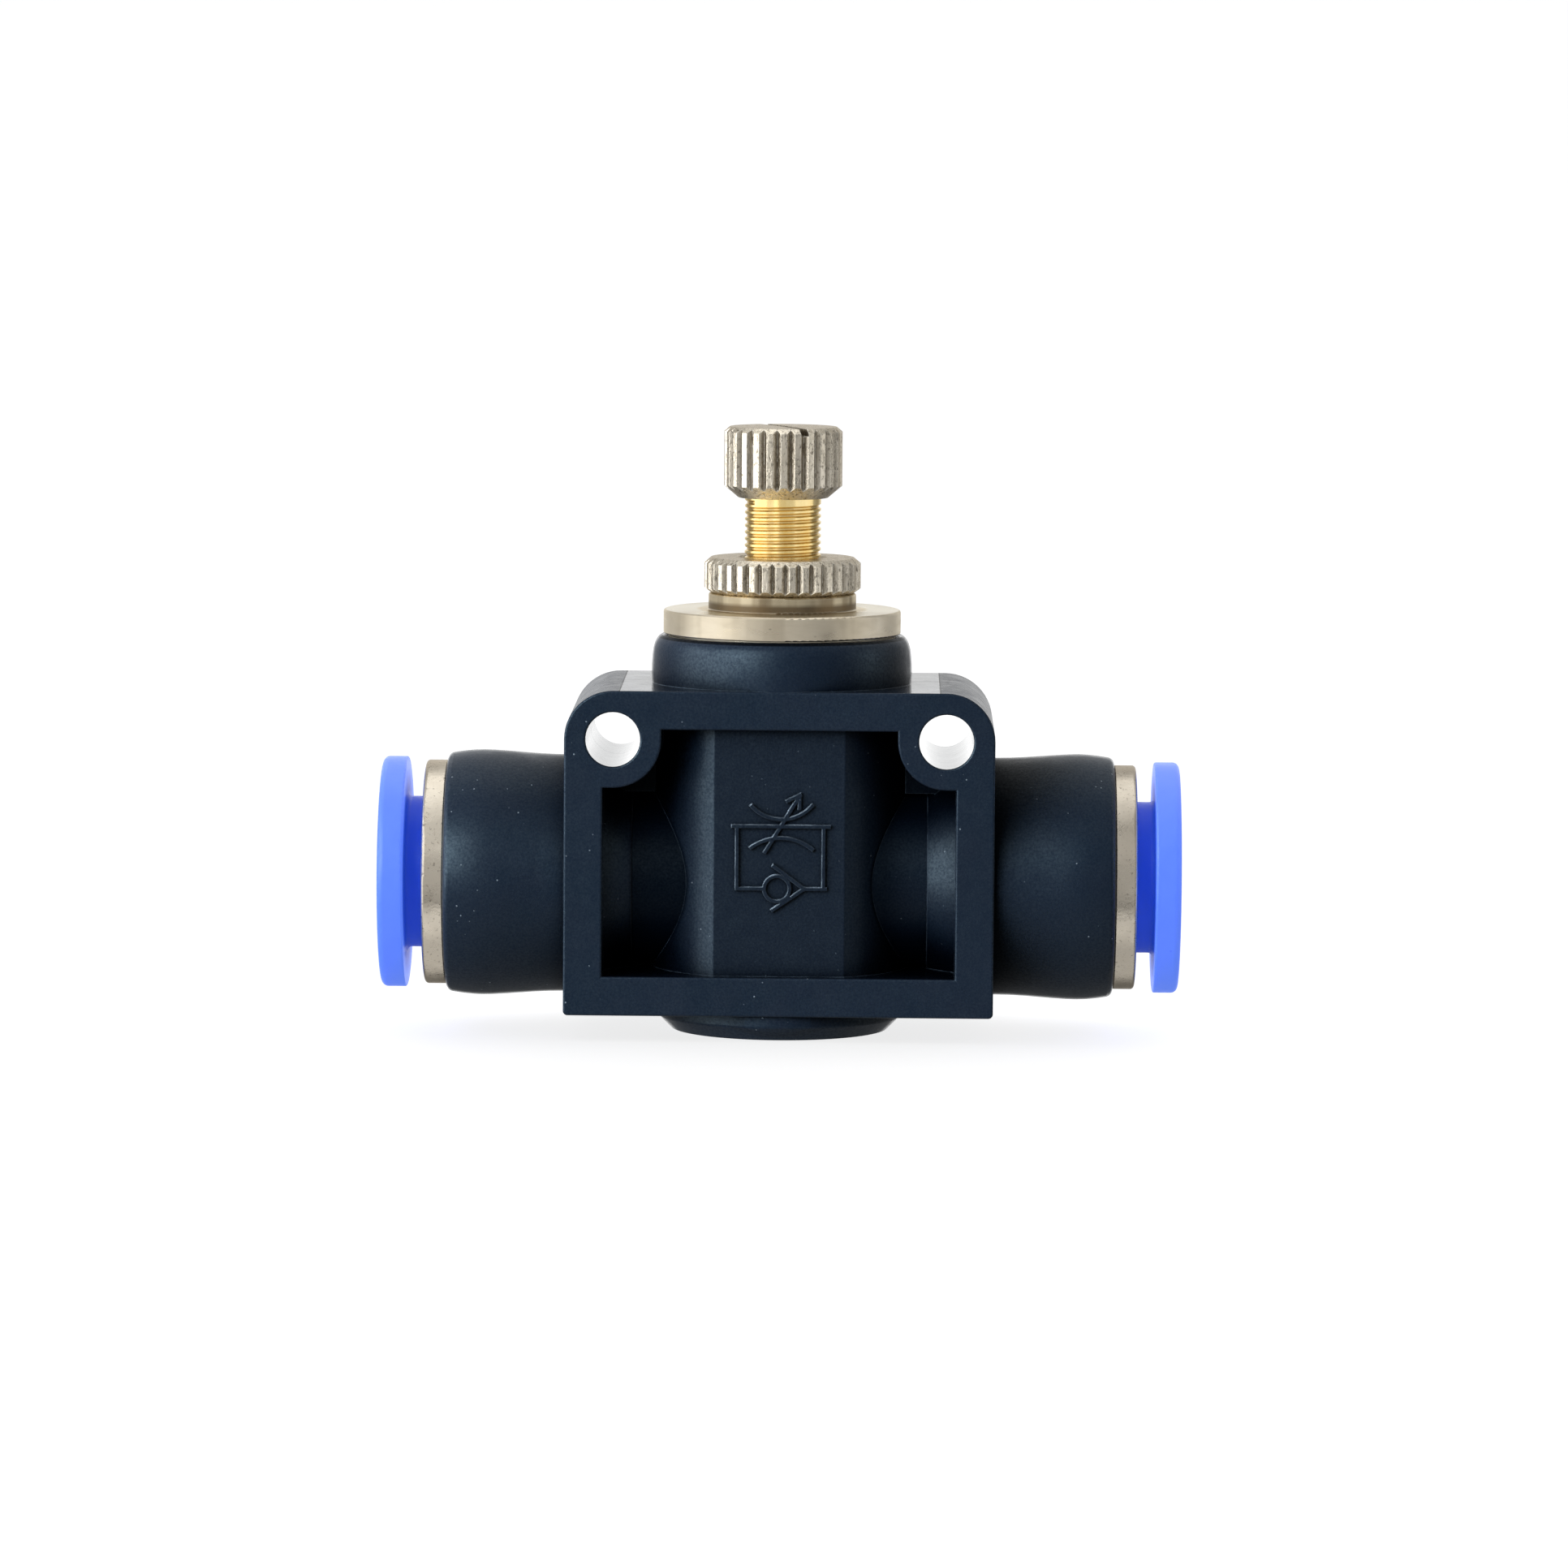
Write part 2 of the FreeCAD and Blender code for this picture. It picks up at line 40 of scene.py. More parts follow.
# ---- node helpers ---------------------------------------------------------------
class Field:
    """A shader value or vector. Arithmetic on it adds Math nodes."""

    def __init__(self, graph, socket):
        self.graph = graph
        self.socket = socket

    def __add__(self, other):
        return self.graph.math("ADD", self, other)

    def __sub__(self, other):
        return self.graph.math("SUBTRACT", self, other)

    def __rsub__(self, other):
        return self.graph.math("SUBTRACT", other, self)

    def __mul__(self, other):
        return self.graph.math("MULTIPLY", self, other)

    def __abs__(self):
        return self.graph.math("ABSOLUTE", self)

    def sqrt(self):
        return self.graph.math("SQRT", self)

    def max(self, other):
        return self.graph.math("MAXIMUM", self, other)

    def ramp(self, span=(0.0, 1.0), to=(0.0, 1.0), smooth=False):
        """Carry the range `span` onto the range `to`, clamped at both ends."""
        inputs = {"Value": self, "From Min": span[0], "From Max": span[1],
                  "To Min": to[0], "To Max": to[1]}
        kind = "SMOOTHSTEP" if smooth else "LINEAR"
        return self.graph.node("ShaderNodeMapRange", inputs, interpolation_type=kind)

    def fall(self, span, smooth=False):
        """1 before `span`, 0 after it."""
        return self.ramp(span, to=(1.0, 0.0), smooth=smooth)


def hypot(a, b):
    return (a * a + b * b).sqrt()


class Graph:
    """A small builder for a node tree."""

    def __init__(self, tree):
        self.tree = tree
        tree.nodes.clear()

    def add(self, kind, **properties):
        node = self.tree.nodes.new(kind)
        for key, value in properties.items():
            setattr(node, key, value)
        return node

    def put(self, socket, value):
        """Link a Field to an input, or set it to a constant; colours get an alpha of 1."""
        if isinstance(value, Field):
            self.tree.links.new(value.socket, socket)
        elif socket.type == "RGBA":
            socket.default_value = tuple(value) + (1.0,)
        else:
            socket.default_value = value

    def node(self, kind, inputs=None, output=0, **properties):
        """Add a node, fill its inputs and return one of its outputs."""
        node = self.add(kind, **properties)
        for key, value in (inputs or {}).items():
            self.put(node.inputs[key], value)
        return Field(self, node.outputs[output])

    def math(self, operation, a, b=0.0):
        return self.node("ShaderNodeMath", {0: a, 1: b, 2: 0.0}, operation=operation)

    def split(self, vector):
        node = self.add("ShaderNodeSeparateXYZ")
        self.put(node.inputs[0], vector)
        return [Field(self, socket) for socket in node.outputs]


class Mat(Graph):
    """A Principled material, textured in object coordinates."""

    def __init__(self, name):
        self.material = bpy.data.materials.new(name)
        self.material.use_nodes = True
        super().__init__(self.material.node_tree)
        out = self.add("ShaderNodeOutputMaterial")
        self.shader = self.add("ShaderNodeBsdfPrincipled")
        self.tree.links.new(self.shader.outputs["BSDF"], out.inputs["Surface"])
        self.position = self.node("ShaderNodeTexCoord", output="Object")

    def set(self, **values):
        for key, value in values.items():
            self.put(self.shader.inputs[key.replace("_", " ")], value)

    def scaled(self, freq, offset):
        """Object coordinates times `freq`, in 1/m, one number or one per axis."""
        scale = freq if isinstance(freq, tuple) else (freq,) * 3
        return self.node("ShaderNodeMapping",
                         {"Vector": self.position, "Scale": scale, "Location": offset})

    def noise(self, freq=None, at=None, offset=(0, 0, 0), detail=3.0, rough=0.55, twist=0.0):
        """Noise at frequency `freq`, or at the ready-made coordinates `at`."""
        vector = at or self.scaled(freq, offset)
        return self.node("ShaderNodeTexNoise",
                         {"Vector": vector, "Scale": 1.0, "Detail": detail,
                          "Roughness": rough, "Distortion": twist})

    def specks(self, freq, offset, size, patch_freq, patch_offset, patch, patch_rough=0.55):
        """Dots with their edge across `size`, only where a slow noise passes `patch`."""
        cells = self.node("ShaderNodeTexVoronoi",
                          {"Vector": self.scaled(freq, offset), "Scale": 1.0})
        where = self.noise(patch_freq, offset=patch_offset, detail=1.0, rough=patch_rough)
        return cells.fall(size) * where.ramp(patch)

    def mix(self, below, above, by):
        return self.node("ShaderNodeMix", {0: by, 6: below, 7: above}, 2, data_type="RGBA")

    def bevel(self, radius, samples=6):
        return self.node("ShaderNodeBevel", {"Radius": radius}, samples=samples)

    def bump(self, height, strength, distance, normal):
        return self.node("ShaderNodeBump", {"Height": height, "Strength": strength,
                                            "Distance": distance, "Normal": normal})

    def normal(self):
        return self.node("ShaderNodeNewGeometry", output="Normal")

    def dot(self, a, b):
        return self.node("ShaderNodeVectorMath", {0: a, 1: b}, "Value", operation="DOT_PRODUCT")

    def edge(self, radius, span=(0.02, 0.25)):
        """1 on sharp edges, 0 on open faces; the materials paint these edges bright as a painted
        highlight, and on the metals also as wear.
        """
        return (1.0 - self.dot(self.bevel(radius), self.normal())).ramp(span)

    def grazing(self, span):
        """0 where the surface faces the viewer, 1 where it is seen at a grazing angle."""
        facing = self.node("ShaderNodeLayerWeight", {"Blend": 0.5}, "Facing")
        return facing.ramp(span, smooth=True)

    def hollow(self, distance):
        """1 in the open, falling towards 0 deep inside a hollow."""
        return self.node("ShaderNodeAmbientOcclusion", {"Distance": distance}, "AO",
                         samples=6, only_local=True)

    def around_needle(self):
        """Radius about the needle axis, and height above the foot."""
        x, y, z = self.split(self.position)
        return hypot(x, y), z


def around_tube(y, z):
    """Radius about the tube axis, and height above it."""
    rise = z - AXIS_Z
    return hypot(y, rise), rise


# ---- body material ----------------------------------------------------------------
def mould_seams(m, side, y, z, upright):
    """The parting line, stepped back between the ports, and the slide marks on the ear tops."""
    line_edge = (0.00003, 0.00008)
    plane = side.ramp(span=(0.01610, 0.01620), to=(PARTING_Y, 0.0))
    wander = m.noise(freq=500, detail=2.0).ramp(span=(0.3, 0.7), to=(-0.00003, 0.00003))
    line = abs((y - plane) + wander).fall(line_edge, smooth=True) * upright[0]
    on_top = z.ramp(span=(0.02590, 0.02600)) * upright[1].ramp(span=(0.80, 0.90))
    slide = on_top * abs(side - SLIDE_X).fall(line_edge, smooth=True)
    return line.max(slide)


def front_panel(side, y, z):
    """Masks of the recessed front panel and of the symbol area within it."""
    depth = y.fall(span=(-0.00850, -0.00840)) * y.ramp(span=(-0.00892, -0.00888))
    panel = side.fall(span=(0.00480, 0.00500)) * depth
    panel = panel * z.fall(span=(0.0228, 0.0235))
    inside = side.fall(span=(0.00440, 0.00450)) * z.ramp(span=(0.0062, 0.0064))
    return panel, panel * inside


def deep_shade(x, side, y, z, open_sky):
    """Painted shade and shadow: the port necks in the pockets, the root of the right port in the
    frame's shadow, and the gap under the flange.
    """
    radius, _ = around_tube(y, z)
    neck = radius.fall(span=(0.00705, 0.00730)) * side.fall(span=(0.0111, 0.0116))
    root = x.ramp(span=(0.01600, 0.01620)) * open_sky.fall(span=(0.80, 0.98))
    neck = neck * x.ramp(span=(0.0080, 0.0112), to=(0.88, 0.25))
    gap = z.ramp(span=(0.02976, 0.02984))
    return neck.max(root * 0.92).max(gap)


def body_plastic():
    """Blue-black moulded plastic: fine grain, soft clouds in the tone, a few dust specks."""
    m = Mat("body_plastic")
    x, y, z = m.split(m.position)
    side = abs(x)
    _, normal_y, normal_z = m.split(m.normal())
    upright = abs(normal_y).fall(span=(0.35, 0.6))

    # masks
    dust = m.specks(freq=1150, offset=(0.3, 0.1, 0.9), size=(0.045, 0.085), patch_freq=260,
                    patch_offset=(9, 2, 4), patch=(0.53, 0.56), patch_rough=0.5)
    seams = mould_seams(m, side, y, z, upright=(upright, normal_z))
    panel, symbol = front_panel(side, y, z)
    # the ears are moulded by the duller slides, outboard of the marks
    ears = (side.ramp(span=(0.01195, 0.01205)) * z.ramp(span=(0.0215, 0.0225))) * upright
    # painted highlight along the edges, broken into patches by a noise
    rim_highlight_patches = m.noise(freq=600, offset=(4, 2, 2), detail=2.0)
    rim = m.edge(radius=0.00011, span=(0.02, 0.22)) * rim_highlight_patches.ramp(span=(0.36, 0.58),
                                                                  to=(0.25, 1.0))
    # painted highlight on the symbol's edges that look up and to the left, painted shade on the
    # edges that look away
    lit = m.dot(m.bevel(radius=0.00013), (-0.70, -0.20, 0.68))
    broken = m.noise(freq=900, offset=(7, 7, 3), detail=2.0)
    shine = lit.ramp(span=(0.40, 0.86)) * broken.ramp(span=(0.42, 0.58), to=(0.16, 1.0))
    dark = lit.ramp(span=(0.05, -0.20)) * 0.8
    open_sky = m.hollow(distance=0.014)
    shade = deep_shade(x, side, y, z, open_sky)
    # the smooth walls of the screw holes shine when one looks along them: a glossier wall, and a
    # faint white glow that is a painted reflection
    hole = hypot(side - HOLE_X, z - HOLE_Z).fall(span=(0.00212, 0.00218))
    along = hole * m.grazing(span=(0.86, 0.95))

    # colour
    cloud = m.noise(freq=190, twist=0.6)
    tint = m.noise(freq=420, offset=(3.1, 0.4, 7.7), detail=2.0, rough=0.5)
    base = m.mix(below=(0.0158, 0.0282, 0.0500), above=(0.0200, 0.0310, 0.0535),
                 by=cloud.ramp(span=(0.35, 0.65)))
    base = m.mix(base, above=(0.0240, 0.0315, 0.0530),
                 by=tint.ramp(span=(0.45, 0.72), to=(0.0, 0.35)))
    base = m.mix(base, above=(0.50, 0.55, 0.60), by=dust * 0.85)
    base = m.mix(base, above=(0.001, 0.0015, 0.003), by=seams * 0.9)
    base = m.mix(base, above=(0.0148, 0.0225, 0.0385), by=panel * 0.85)
    # painted shade: the colour darkens deep in hollows
    base = m.mix(below=(0.0004, 0.0014, 0.0040), above=base, by=open_sky.ramp(span=(0.32, 1.0)))
    # painted shade and shadow from deep_shade
    base = m.mix(base, above=(0.0010, 0.0030, 0.0070), by=shade)
    # painted highlight on the edges
    base = m.mix(base, above=(0.17, 0.21, 0.26), by=rim * 0.60)
    base = m.mix(base, above=(0.001, 0.002, 0.004), by=symbol * dark)
    base = m.mix(base, above=(0.66, 0.74, 0.82), by=symbol * shine)

    # relief, from the seams through slow waves to the grain
    grain = m.noise(freq=9000, detail=2.0, rough=0.6)
    coarse = m.noise(freq=2600, detail=2.0)
    height = (grain * 0.6 + coarse * 0.6) + dust * 1.5
    wave = m.noise(freq=330, offset=(5, 5, 1), detail=2.0, rough=0.5)
    normal = m.bump(1.0 - seams, strength=0.8, distance=0.00003, normal=m.bevel(radius=0.00008))
    normal = m.bump(wave, strength=0.25, distance=0.00010, normal=normal)
    normal = m.bump(height, strength=0.45, distance=0.000022, normal=normal)

    # a moulded skin turns glossy when it is seen along its surface
    skin = m.noise(freq=700, offset=(1, 8, 2), rough=0.6)
    rough = skin.ramp(span=(0.3, 0.7), to=(0.33, 0.41))
    rough = rough - m.grazing(span=(0.80, 0.90)) * 0.26
    rough = rough + ears * 0.16
    rough = rough - along * 0.10

    # specular level: low in hollows, shade, stained ears and seams, and broken by a sparkle
    stain = m.noise(freq=(330, 180, 330), offset=(2.2, 6.1, 3.0), detail=2.0, rough=0.5,
                    twist=0.8).ramp(span=(0.52, 0.60))
    spec = open_sky.ramp(span=(0.42, 0.90), to=(0.12, 0.55))
    spec = spec * z.ramp(span=(0.0262, 0.0266), to=(1.0, 0.80))
    spec = spec * (1.0 - shade * 0.75)
    spec = spec * (1.0 - ears * stain.ramp(to=(0.62, 0.86)))
    spec = spec * (1.0 - seams * 0.96)
    sparkle = m.noise(freq=5600, offset=(3, 3, 8), detail=2.0, rough=0.6)
    spec = spec * sparkle.ramp(span=(0.34, 0.68), to=(0.60, 1.45))
    spec = spec.max(hole * 0.9)

    # the emission is the painted reflection on the screw-hole walls
    m.set(Base_Color=base, Roughness=rough, Normal=normal, Specular_IOR_Level=spec,
          Emission_Color=(1.0, 1.0, 1.0), Emission_Strength=along * 0.28,
          Specular_Tint=(0.78, 0.95, 1.0), IOR=1.5)
    return m.material


# ---- metals -----------------------------------------------------------------------
def turned_nickel():
    """Nickel plate over turned brass: fine lathe lines round the axis, smears, warm clouds."""
    m = Mat("turned_nickel")
    r, z = m.around_needle()
    across = m.node("ShaderNodeCombineXYZ", {0: r * 16000, 1: 0.0, 2: z * 15000})
    lines = m.noise(at=across, detail=2.0, rough=0.6)
    smear = m.noise(freq=(420, 420, 1500), rough=0.6, twist=0.4)
    cloud = m.noise(freq=160, offset=(2, 7, 1))
    nicks = m.specks(freq=(520, 520, 900), offset=(4, 1, 3), size=(0.03, 0.08),
                     patch_freq=300, patch_offset=(7, 3, 8), patch=(0.5, 0.56))
    base = m.mix(below=(0.77, 0.675, 0.51), above=(0.85, 0.77, 0.62),
                 by=cloud.ramp(span=(0.35, 0.7)))
    base = m.mix(base, above=(0.62, 0.54, 0.40), by=smear.ramp(span=(0.5, 0.8), to=(0.0, 0.35)))
    # the collar between flange and locknut is bare brown brass, with painted shade darkest where
    # it meets the flange
    collar = z.ramp(span=(0.03198, 0.03204)) * r.fall(span=(0.00575, 0.00590))
    collar_brass_and_shade = m.mix(below=(0.17, 0.12, 0.065), above=(0.66, 0.56, 0.38),
                 by=z.ramp(span=(0.0324, 0.0327)))
    base = m.mix(base, above=collar_brass_and_shade, by=collar * 0.92)
    # upright smears left by handling, strongest on the collar
    upright = m.noise(freq=(520, 520, 60), offset=(1, 6, 2), detail=2.0)
    base = m.mix(base, above=(0.22, 0.155, 0.085),
                 by=collar * upright.ramp(span=(0.46, 0.62), to=(0.0, 0.70)))
    outer = r.ramp(span=(0.0086, 0.0088))
    base = m.mix(base, above=(0.44, 0.37, 0.26),
                 by=outer * upright.ramp(span=(0.50, 0.66), to=(0.0, 0.30)))
    base = m.mix(base, above=(0.20, 0.16, 0.11), by=nicks * 0.5)
    # upward faces outside the collar painted pale, a painted reflection of the light overhead;
    # edges painted bright, a painted highlight where they catch the light, and wear
    normal_z = m.split(m.normal())[2]
    painted_top_light = normal_z.ramp(span=(0.85, 0.95)) * r.ramp(span=(0.0062, 0.0066))
    base = m.mix(base, above=(0.94, 0.92, 0.85), by=painted_top_light * 0.75)
    patches = m.noise(freq=900, offset=(5, 2, 8), detail=2.0).ramp(span=(0.36, 0.50))
    edge_wear_and_highlight = m.edge(radius=0.00016) * patches
    base = m.mix(base, above=(0.95, 0.91, 0.80), by=edge_wear_and_highlight * 0.8)
    height = (lines + smear * 0.8) - nicks
    m.set(Base_Color=base, Metallic=1.0, Anisotropic=0.75, Specular_Tint=(1.0, 0.97, 0.90),
          Roughness=smear.ramp(span=(0.3, 0.7), to=(0.26, 0.38)),
          Normal=m.bump(height, strength=0.35, distance=0.000006,
                        normal=m.bevel(radius=0.00009)),
          Tangent=m.node("ShaderNodeTangent", direction_type="RADIAL", axis="Z"))
    return m.material


def knurled_nickel():
    """Nickel plate over knurled brass: torn, pitted flutes, painted shade in the valleys, and
    bright edges, burnished and carrying a painted highlight.
    """
    m = Mat("knurled_nickel")
    pits = m.noise(freq=(4200, 4200, 2600), detail=4.0, rough=0.68, twist=0.5)
    tear = m.noise(freq=(2300, 2300, 900), offset=(3, 1, 5), rough=0.6)
    cloud = m.noise(freq=500, offset=(1, 4, 2), detail=2.0, rough=0.5)
    grime_and_shade = (0.20, 0.17, 0.13)
    base = m.mix(below=(0.76, 0.69, 0.56), above=(0.87, 0.80, 0.67),
                 by=cloud.ramp(span=(0.35, 0.65)))
    base = m.mix(base, above=grime_and_shade, by=pits.ramp(span=(0.53, 0.66), to=(0.0, 0.88)))
    # painted shade in the valleys between the flutes
    valley = m.hollow(distance=0.0007).ramp(span=(0.52, 0.94), to=(0.85, 0.0))
    base = m.mix(base, above=grime_and_shade, by=valley)
    # edges painted bright: burnished wear and painted highlight
    edge_wear_and_highlight = m.edge(radius=0.00012, span=(0.03, 0.20)) * tear.ramp(span=(0.38, 0.52))
    base = m.mix(base, above=(0.95, 0.91, 0.81), by=edge_wear_and_highlight)
    m.set(Base_Color=base, Metallic=1.0, Specular_Tint=(0.62, 0.58, 0.52),
          Roughness=tear.ramp(span=(0.35, 0.7), to=(0.22, 0.38)),
          Normal=m.bump(pits * -0.9 + tear, strength=0.75, distance=0.000060,
                        normal=m.bevel(radius=0.00006)))
    return m.material


def grainy_nickel():
    """Nickel plate on the port rings: orange-peel grain that breaks up the reflections."""
    m = Mat("grainy_nickel")
    peel = m.noise(freq=3600, rough=0.62, twist=0.3)
    soft = m.noise(freq=900, offset=(6, 2, 2), detail=2.0, rough=0.5)
    cloud = m.noise(freq=240, offset=(8, 1, 6), detail=2.0, rough=0.5)
    base = m.mix(below=(0.72, 0.65, 0.54), above=(0.82, 0.75, 0.63),
                 by=cloud.ramp(span=(0.35, 0.65)))
    base = m.mix(base, above=(0.15, 0.125, 0.10), by=peel.ramp(span=(0.60, 0.74), to=(0.0, 0.8)))
    # painted highlight on the edges
    base = m.mix(base, above=(0.93, 0.88, 0.76), by=m.edge(radius=0.00012) * 0.7)
    # painted shade: the right ring is a little darker
    x = m.split(m.position)[0]
    base = m.mix(base, above=(0.20, 0.18, 0.15), by=x.ramp(span=(-0.001, 0.001), to=(0.0, 0.26)))
    m.set(Base_Color=base, Metallic=1.0, Specular_Tint=(0.70, 0.66, 0.60),
          Roughness=soft.ramp(span=(0.35, 0.7), to=(0.24, 0.36)),
          Normal=m.bump(peel + soft * 1.2, strength=0.6, distance=0.000030,
                        normal=m.bevel(radius=0.00008)))
    return m.material


def bright_brass():
    """Bare cut brass: bright thread flanks, warm streaks, painted shade in the thread roots and
    tiny dark nicks.
    """
    m = Mat("bright_brass")
    streak = m.noise(freq=(700, 700, 160), rough=0.6)
    fine = m.noise(freq=5200, rough=0.65)
    nicks = m.specks(freq=900, offset=(2, 5, 1), size=(0.04, 0.10),
                     patch_freq=700, patch_offset=(1, 9, 5), patch=(0.5, 0.55))
    base = m.mix(below=(0.86, 0.62, 0.23), above=(0.97, 0.78, 0.39),
                 by=streak.ramp(span=(0.35, 0.65)))
    r, _ = m.around_needle()
    # painted shade in the thread roots
    base = m.mix(base, above=(0.42, 0.24, 0.055),
                 by=r.ramp(span=(0.00275, 0.00282), to=(0.45, 0.0)))
    base = m.mix(base, above=(0.10, 0.05, 0.02), by=nicks * 0.85)
    m.set(Base_Color=base, Metallic=1.0,
          Roughness=streak.ramp(span=(0.3, 0.7), to=(0.17, 0.27)),
          Normal=m.bump(fine - nicks, strength=0.4, distance=0.000010,
                        normal=m.bevel(radius=0.00003, samples=4)))
    return m.material


def stamped_steel():
    m = Mat("stamped_steel")
    rub = m.noise(freq=(900, 5200, 5200), rough=0.6)
    base = m.mix(below=(0.46, 0.46, 0.47), above=(0.62, 0.62, 0.62),
                 by=rub.ramp(span=(0.3, 0.7)))
    m.set(Base_Color=base, Metallic=1.0, Roughness=rub.ramp(span=(0.3, 0.7), to=(0.24, 0.4)),
          Normal=m.bump(rub, strength=0.3, distance=0.00001, normal=m.bevel(radius=0.00004)))
    return m.material


# ---- plastics and rubber ----------------------------------------------------------
def blue_sleeve():
    """Translucent blue moulded sleeve: light scatters inside, with soft scuffs and bubbles."""
    m = Mat("blue_sleeve")
    cloud = m.noise(freq=260, offset=(2, 2, 9), detail=2.0, rough=0.5)
    scuff = m.noise(freq=(1600, 2600, 2600), offset=(4, 4, 1), rough=0.65)
    fine = m.noise(freq=8000, detail=2.0, rough=0.6)
    bubbles = m.specks(freq=700, offset=(8, 3, 1), size=(0.04, 0.09),
                       patch_freq=350, patch_offset=(3, 8, 2), patch=(0.54, 0.58))
    base = m.mix(below=(0.060, 0.125, 0.93), above=(0.085, 0.160, 0.96),
                 by=cloud.ramp(span=(0.3, 0.7)))
    base = m.mix(base, above=(0.02, 0.03, 0.45), by=bubbles * 0.6)
    # painted glow standing in for daylight carried through the moulding: strongest on the rim,
    # painted lighter towards the top, and fading with depth in the bore as painted shade
    x, y, z = m.split(m.position)
    radius, rise = around_tube(y, z)
    rim = (0.0062, 0.0080)
    rim_glow = m.mix(below=(0.135, 0.275, 1.0), above=(0.230, 0.370, 1.0),
                     by=rise.ramp(span=(0.0030, 0.0095)))
    glow = m.mix(below=(0.026, 0.125, 0.66), above=rim_glow, by=radius.ramp(rim))
    bore = radius.fall(span=(0.0053, 0.0056))
    deep = abs(x).ramp(span=(0.0250, 0.0298), to=(0.92, 0.0))
    m.shader.subsurface_method = "RANDOM_WALK"
    m.set(Base_Color=base, Roughness=scuff.ramp(span=(0.35, 0.7), to=(0.30, 0.42)), IOR=1.48,
          Normal=m.bump(scuff + fine * 0.5, strength=0.22, distance=0.000010,
                        normal=m.bevel(radius=0.00012)),
          Subsurface_Weight=0.75, Subsurface_Radius=(0.25, 0.45, 1.0), Subsurface_Scale=0.0011,
          Emission_Color=glow,
          Emission_Strength=radius.ramp(rim, to=(0.22, 0.66)) * (1.0 - bore * deep))
    return m.material


def white_acetal():
    m = Mat("white_acetal")
    cloud = m.noise(freq=500, detail=2.0, rough=0.5)
    fine = m.noise(freq=6000, detail=2.0, rough=0.6)
    base = m.mix(below=(0.74, 0.74, 0.71), above=(0.82, 0.82, 0.79),
                 by=cloud.ramp(span=(0.3, 0.7)))
    m.set(Base_Color=base, Roughness=fine.ramp(span=(0.3, 0.7), to=(0.32, 0.42)),
          Subsurface_Weight=0.3, Subsurface_Scale=0.0008,
          Normal=m.bump(fine, strength=0.25, distance=0.00001, normal=m.bevel(radius=0.00008)))
    return m.material


def nitrile():
    m = Mat("nitrile")
    fine = m.noise(freq=5200, rough=0.65)
    cloud = m.noise(freq=700, detail=2.0, rough=0.5)
    base = m.mix(below=(0.010, 0.010, 0.011), above=(0.022, 0.022, 0.023),
                 by=cloud.ramp(span=(0.3, 0.7)))
    m.set(Base_Color=base, Roughness=fine.ramp(span=(0.3, 0.7), to=(0.55, 0.72)),
          Normal=m.bump(fine, strength=0.4, distance=0.00002, normal=m.bevel(radius=0.00008)))
    return m.material


# ---- which piece is made of what --------------------------------------------------
MATERIALS = {
    "body": body_plastic(),
    "bushing": turned_nickel(),
    "knurl": knurled_nickel(),
    "ring": grainy_nickel(),
    "brass": bright_brass(),
    "sleeve": blue_sleeve(),
    "steel": stamped_steel(),
    "acetal": white_acetal(),
    "rubber": nitrile(),
}
MADE_OF = {
    "body": "body", "valve_bushing": "bushing", "knob": "knurl", "locknut": "knurl",
    "needle": "brass", "valve_cage": "acetal", "check_lip_seal": "rubber",
    "bushing_oring": "rubber", "needle_oring": "rubber",
}
for port in ("left", "right"):
    MADE_OF[port + "_guide_ring"] = "ring"
    MADE_OF[port + "_release_sleeve"] = "sleeve"
    MADE_OF[port + "_grab_ring"] = "steel"
    MADE_OF[port + "_claw_support_ring"] = "acetal"
    MADE_OF[port + "_tube_seal"] = "rubber"
for piece_name, piece in pieces.items():
    piece.data.materials.clear()
    piece.data.materials.append(MATERIALS[MADE_OF[piece_name]])


# ---- floor and world --------------------------------------------------------------
def studio_paper():
    m = Mat("studio_paper")
    fibre = m.noise(freq=900, rough=0.6)
    base = m.mix(below=(0.90, 0.90, 0.90), above=(0.93, 0.93, 0.93),
                 by=fibre.ramp(span=(0.3, 0.7)))
    m.set(Base_Color=base, Roughness=0.9, Emission_Color=(1.0, 1.0, 1.0),
          Emission_Strength=0.80)
    return m.material


def build_floor():
    """A pale floor that sweeps up into a backdrop behind the object."""
    half_width, front, back, top = 2.2, -1.6, 1.2, 2.0
    sweep, steps = 0.7, 24  # radius of the curve and its segments
    profile = [(front, 0.0), (0.0, 0.0), (back - sweep, 0.0)]  # (y, z)
    for i in range(1, steps + 1):
        angle = math.pi / 2 * i / steps
        profile.append((back - sweep + sweep * math.sin(angle), sweep - sweep * math.cos(angle)))
    profile.append((back, top))
    bm = bmesh.new()
    left, right = [[bm.verts.new((x, y, z)) for y, z in profile]
                   for x in (-half_width, half_width)]
    for i in range(len(profile) - 1):
        bm.faces.new((left[i], left[i + 1], right[i + 1], right[i])[::-1][-1:]
                     + (right[i], right[i + 1], left[i + 1]))
    mesh = bpy.data.meshes.new("studio_floor")
    bm.to_mesh(mesh)
    bm.free()
    for polygon in mesh.polygons:
        polygon.use_smooth = True
    floor = bpy.data.objects.new("studio_floor", mesh)
    scene.collection.objects.link(floor)
    mesh.materials.append(studio_paper())
    # the paper is lit for the camera, and kept out of the object's reflections
    floor.visible_glossy = False
    floor.visible_diffuse = False
    floor.visible_shadow = False


